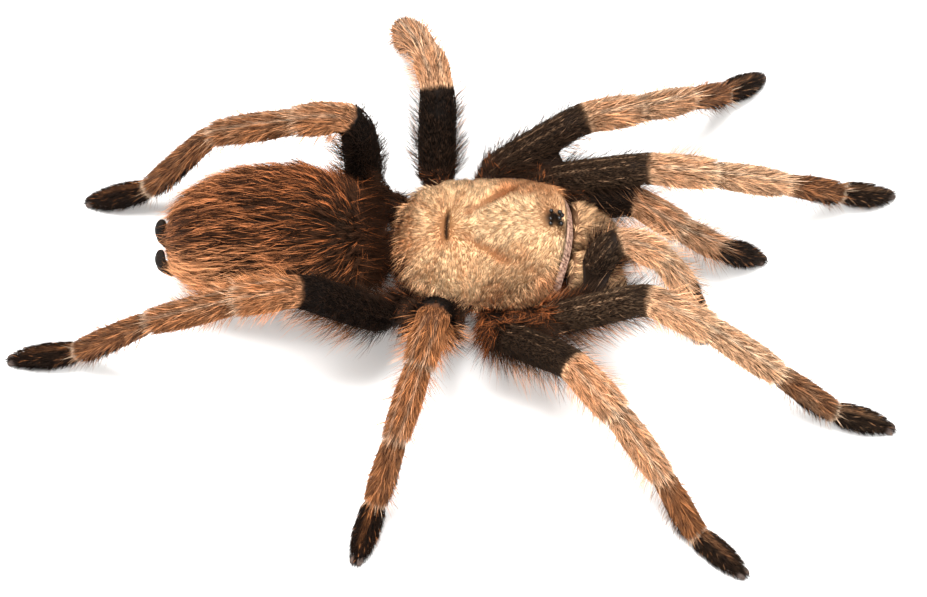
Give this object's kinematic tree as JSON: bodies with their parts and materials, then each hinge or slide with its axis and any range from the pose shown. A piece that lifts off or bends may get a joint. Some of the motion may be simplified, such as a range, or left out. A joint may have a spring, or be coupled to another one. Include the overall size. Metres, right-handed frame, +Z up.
{
  "type": "tarantula model",
  "caption": "Life-size still model of a blond tarantula walking with raised knees, its feet flat on the floor.",
  "frame": {"origin": "middle of the footprint's bounding box, on the floor that the feet stand on", "axes": "+X towards the head, +Y to the animal's left side, +Z up"},
  "size_m": [0.0984, 0.074, 0.0222],
  "materials": {
    "shield": "short dense golden-tan hair over a hard shell",
    "pale_leg": "short tan hair with longer orange-tan bristles",
    "dark_leg": "black-brown velvety hair",
    "foot": "brown hair darkening to black-brown pads",
    "abdomen": "long red-brown bristles over black velvet",
    "underside": "dark brown hair with rust-coloured fringes",
    "jaw": "olive-tan hair",
    "horn": "glossy black horn",
    "eye": "glossy dark lens"
  },
  "bodies": {
    "root": {"abdomen": "abdomen", "carapace": "shield", "chelicera_left": "jaw", "chelicera_right": "jaw", "eye_left_front_middle": "eye", "eye_left_front_side": "eye", "eye_left_rear_middle": "eye", "eye_left_rear_side": "eye", "eye_right_front_middle": "eye", "eye_right_front_side": "eye", "eye_right_rear_middle": "eye", "eye_right_rear_side": "eye", "fang_left": "horn", "fang_right": "horn", "leg_left_1_femur": "dark_leg", "leg_left_1_foot": "foot", "leg_left_1_patella": "pale_leg", "leg_left_1_tibia": "pale_leg", "leg_left_2_femur": "dark_leg", "leg_left_2_foot": "foot", "leg_left_2_patella": "pale_leg", "leg_left_2_tibia": "pale_leg", "leg_left_3_femur": "dark_leg", "leg_left_3_foot": "foot", "leg_left_3_patella": "pale_leg", "leg_left_3_tibia": "pale_leg", "leg_left_4_femur": "dark_leg", "leg_left_4_foot": "foot", "leg_left_4_patella": "pale_leg", "leg_left_4_tibia": "pale_leg", "leg_right_1_femur": "dark_leg", "leg_right_1_foot": "foot", "leg_right_1_patella": "pale_leg", "leg_right_1_tibia": "pale_leg", "leg_right_2_femur": "dark_leg", "leg_right_2_foot": "foot", "leg_right_2_patella": "pale_leg", "leg_right_2_tibia": "pale_leg", "leg_right_3_femur": "dark_leg", "leg_right_3_foot": "foot", "leg_right_3_patella": "pale_leg", "leg_right_3_tibia": "pale_leg", "leg_right_4_femur": "dark_leg", "leg_right_4_foot": "foot", "leg_right_4_patella": "pale_leg", "leg_right_4_tibia": "pale_leg", "palp_left_femur": "dark_leg", "palp_left_patella": "pale_leg", "palp_left_tarsus": "foot", "palp_left_tibia": "pale_leg", "palp_right_femur": "dark_leg", "palp_right_patella": "pale_leg", "palp_right_tarsus": "foot", "palp_right_tibia": "pale_leg", "spinneret_left": "horn", "spinneret_right": "horn", "sternum_with_coxae": "underside"}
  },
  "joints": []
}
